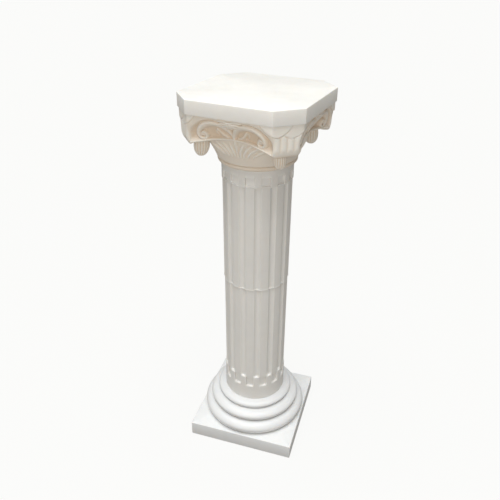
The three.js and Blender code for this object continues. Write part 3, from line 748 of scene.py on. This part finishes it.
def makeCapital():
    e, k, angle = (column[None] for column in capitalColumns())
    lip = lipHeight(e) - capital["hornDip"] * (1 - k ** 2)
    layers = []

    def addRound(radius, z, hollow):
        # A row of the turned parts: a circle at that radius, with its painted shade
        shape = np.broadcast_to(radius * np.ones_like(angle), (len(np.atleast_1d(z)), angle.shape[1]))
        layers.append(np.stack([shape * np.sin(angle), -shape * np.cos(angle),
                                np.broadcast_to(z, shape.shape), np.broadcast_to(hollow, shape.shape)], -1))

    # Foot, bead ring and the groove above it
    neck, ring = capital["neckHeight"], capital["ringHeight"]
    turn = np.radians(np.linspace(-84, 84, 13))
    profile = [(capital["footRadius"], 0), (capital["footRadius"], 0.6 * neck)]
    for t in turn:
        drawnIn = capital["beadReach"] * (1 - np.cos(t))
        profile.append((capital["ringRadius"] - drawnIn, neck + ring / 2 * (1 + np.sin(t))))
    grooveAt = len(profile)
    profile += [(capital["bellStart"] - deep * mm, neck + ring + up * mm) for deep, up in capital["groove"]]
    # Painted shade on the turned parts: 0.8 on the bead ring, full on the foot and at the groove
    for n, (radius, z) in enumerate(profile):
        addRound(radius, z, 0.8 + 0.2 * (n < 2 or n == grooveAt))

    # Bell with its leaves, from the groove up to the lips
    start = profile[-1][1]
    share = np.linspace(0, 1, capital["bellRows"] + 1)[1:, None]
    z = mix(start, lip, share)
    plain = bellRadius(z, e)
    relief = bellCarving(np.abs(plain * np.sin(angle)), z) * np.where(np.abs(angle) < 1, 1, 0)
    radius = plain + relief * smooth(start, start + 12 * mm, z) * (1 - 0.5 * smooth(0.93, 1, share))
    # Painted shade on the bell under the lips, lighter on the raised reeds, stem and bead
    layers.append(np.stack([radius * np.sin(angle), -radius * np.cos(angle), z,
                            np.clip(0.35 - 0.3 * relief / carving["reedHeight"], 0.05, 1)], -1))
    top = layers[-1][-1]

    # Faces and horns, from the lips up to the slab
    share = np.linspace(0, 1, capital["faceRows"] + 1)[:, None]
    z = mix(lip, capitalHeight, share)
    x, reach, hollow = frameSurface(*np.broadcast_arrays(e, k, z))
    front = np.stack([x, -reach, z, hollow], -1)

    # Underside of the lips and horns: straight out from the bell, a little arched
    share = np.linspace(0, 1, capital["underRows"] + 2)[1:-1, None, None]
    under = mix(top, front[0], share)
    overhang = np.hypot(*(front[0] - top)[:, :2].T)
    under[..., 2] += 0.1 * overhang * np.sin(np.pi * share[..., 0])
    # Painted shade on the undersides of the lips and horns
    under[..., 3] = 0.8
    layers += [under, front]
    quarter = np.concatenate(layers)
    rows = np.concatenate([turned(quarter[..., :3], 90 * n) for n in range(4)], 1)
    hollow = np.concatenate([quarter[..., 3]] * 4, 1)
    rows = turned(rows, capital["turn"]) + [0, 0, capitalLow.z]
    # Middling painted shade at the two points that close the ends
    hollow = np.concatenate([hollow.ravel(), [0.5, 0.5]])
    makePiece("scrolled_capital", [closedSkin(rows)], ["capital"],
              finish["capitalCream"], hollow=hollow, sharpAngle=70)


makeCapital()


# Drops: a reeded bud under each horn, rooted in the horn's foot and against the bell

drop = {"height": 33 * mm, "depth": 34 * mm, "width": 28 * mm, "reach": 122.5 * mm, "root": 3 * mm,
        "lean": 2 * mm, "rootWidth": 0.94, "widestUntil": 0.25, "tipLength": 0.79, "tipCurve": 2.3,
        "reeds": 16, "reedDepth": 1.3 * mm, "around": 96, "rows": 26}


def makeDrops():
    # Oval rings, widest a quarter of the way down and then narrowing to a rounded tip by a power curve.
    # Reeds run down from root to tip as arched waves around it.
    head = hornFoot + drop["root"]
    share = np.linspace(1, 0, drop["rows"])[:, None]
    turn = np.linspace(0, 2 * np.pi, drop["around"], endpoint=False)[None]
    toTip = np.clip((share - drop["widestUntil"]) / drop["tipLength"], 0, 1)
    swell = (1 - toTip ** drop["tipCurve"]) ** 0.5 * mix(drop["rootWidth"], 1, smooth(0, 0.3, share))
    reed = drop["reedDepth"] * np.abs(np.sin(drop["reeds"] / 2 * turn)) ** 0.7 * smooth(0.0, 0.35, swell)
    side = (drop["width"] / 2 * swell + reed - drop["reedDepth"]) * np.cos(turn)
    out = (drop["depth"] / 2 * swell + reed - drop["reedDepth"]) * np.sin(turn)
    out = out + drop["reach"] + drop["lean"] * share
    z = head - drop["height"] * share + 0 * turn
    rows = np.stack([side, -out, z], -1)[:, ::-1]
    # Painted shade on the drops: heaviest in the grooves between reeds and over the tip where the reeds
    # fade, least on the crests
    hollow = np.clip(1 - reed / drop["reedDepth"], 0, 1)[:, ::-1] * 0.7 + 0.2
    skins, shades = [], []
    for n in range(4):
        skins.append(closedSkin(turned(rows, 45 + 90 * n + capital["turn"]) + [0, 0, capitalLow.z]))
        # Middling painted shade at each drop's two closing points
        shades.append(np.concatenate([hollow.ravel(), [0.5, 0.5]]))
    makePiece("corner_drops", skins, ["capital"], finish["capitalCream"],
              hollow=np.concatenate(shades))


makeDrops()


# Studio: a pale floor, an even pale surround, strong overhead light and a weaker front light. The floor and
# the surround look white, and give a little warm light.

studio = {"floorSize": 60, "floorTone": 0.05, "seenColour": (1, 1, 0.985), "litColour": (1, 0.965, 0.9),
          "floorSeen": 0.9, "floorLight": 0.34, "skySeen": 0.97, "skyLight": 0.25,
          "overhead": {"power": 3.3, "tilt": (8, -10), "spread": 50, "colour": (0.97, 1, 1.02)},
          "softbox": {"power": 10.5, "size": 1.3, "place": (0.25, -1.75, 1.2), "aim": (0, 0, 0.72),
                      "colour": (1, 0.98, 0.95)}}


def seenOrLit(tree, seen, lit):
    # Strength and colour where the camera looks straight at it, and others for the light that it gives
    ray = addNode(tree, "ShaderNodeLightPath").outputs["Is Camera Ray"]
    strength = addNode(tree, "ShaderNodeMapRange", {0: ray, 3: lit, 4: seen}).outputs[0]
    colours = {0: ray, 6: (*studio["litColour"], 1), 7: (*studio["seenColour"], 1)}
    return strength, addNode(tree, "ShaderNodeMix", colours, data_type="RGBA").outputs[2]


def makeStudio():
    bpy.ops.mesh.primitive_plane_add(size=studio["floorSize"], location=(0, 0, 0))
    floor = bpy.context.object
    floor.name = "pale_floor"
    paint = bpy.data.materials.new("paleFloor")
    paint.use_nodes = True
    tree = paint.node_tree
    shader = tree.nodes["Principled BSDF"]
    shader.inputs["Base Color"].default_value = (*[studio["floorTone"]] * 3, 1)
    shader.inputs["Specular IOR Level"].default_value = 0
    shader.inputs["Roughness"].default_value = 1
    strength, colour = seenOrLit(tree, studio["floorSeen"], studio["floorLight"])
    tree.links.new(strength, shader.inputs["Emission Strength"])
    tree.links.new(colour, shader.inputs["Emission Color"])
    floor.data.materials.append(paint)
    world = bpy.data.worlds.new("paleSurround")
    bpy.context.scene.world = world
    world.use_nodes = True
    sky = world.node_tree.nodes["Background"]
    strength, colour = seenOrLit(world.node_tree, studio["skySeen"], studio["skyLight"])
    world.node_tree.links.new(strength, sky.inputs["Strength"])
    world.node_tree.links.new(colour, sky.inputs["Color"])
    overhead, softbox = studio["overhead"], studio["softbox"]
    sun = bpy.data.lights.new("overheadLight", "SUN")
    sun.energy = overhead["power"]
    sun.color = overhead["colour"]
    sun.angle = np.radians(overhead["spread"])
    lamp = bpy.data.objects.new("overheadLight", sun)
    tilt, turn = np.radians(overhead["tilt"])
    lamp.rotation_euler = (tilt, 0, turn)
    bpy.context.scene.collection.objects.link(lamp)
    panel = bpy.data.lights.new("softboxLight", "AREA")
    panel.energy = softbox["power"]
    panel.color = softbox["colour"]
    panel.size = softbox["size"]
    lamp = bpy.data.objects.new("softboxLight", panel)
    lamp.location = softbox["place"]
    lamp.rotation_euler = (Vector(softbox["aim"]) - lamp.location).to_track_quat("-Z", "Y").to_euler()
    bpy.context.scene.collection.objects.link(lamp)
    bpy.context.scene.view_settings.view_transform = "Standard"


makeStudio()

# Camera at the photo's angle: its place, then its turn about Z, its tilt down from level and its own roll
cameraSpec = {"place": (0.31404, -1.05849, 1.15747), "turn": 17.333, "tilt": 29.86, "roll": 0.366,
              "focalPixels": 535, "framePixels": 500, "sensor": 36}


def makeCamera():
    data = bpy.data.cameras.new("photoCamera")
    data.sensor_width = cameraSpec["sensor"]
    data.lens = cameraSpec["sensor"] * cameraSpec["focalPixels"] / cameraSpec["framePixels"]
    camera = bpy.data.objects.new("photoCamera", data)
    spin = (Matrix.Rotation(np.radians(cameraSpec["turn"]), 4, "Z")
            @ Matrix.Rotation(np.radians(90 - cameraSpec["tilt"]), 4, "X")
            @ Matrix.Rotation(np.radians(cameraSpec["roll"]), 4, "Z"))
    camera.matrix_world = Matrix.Translation(Vector(cameraSpec["place"])) @ spin
    bpy.context.scene.collection.objects.link(camera)
    bpy.context.scene.camera = camera


makeCamera()
print("studio and camera ready")
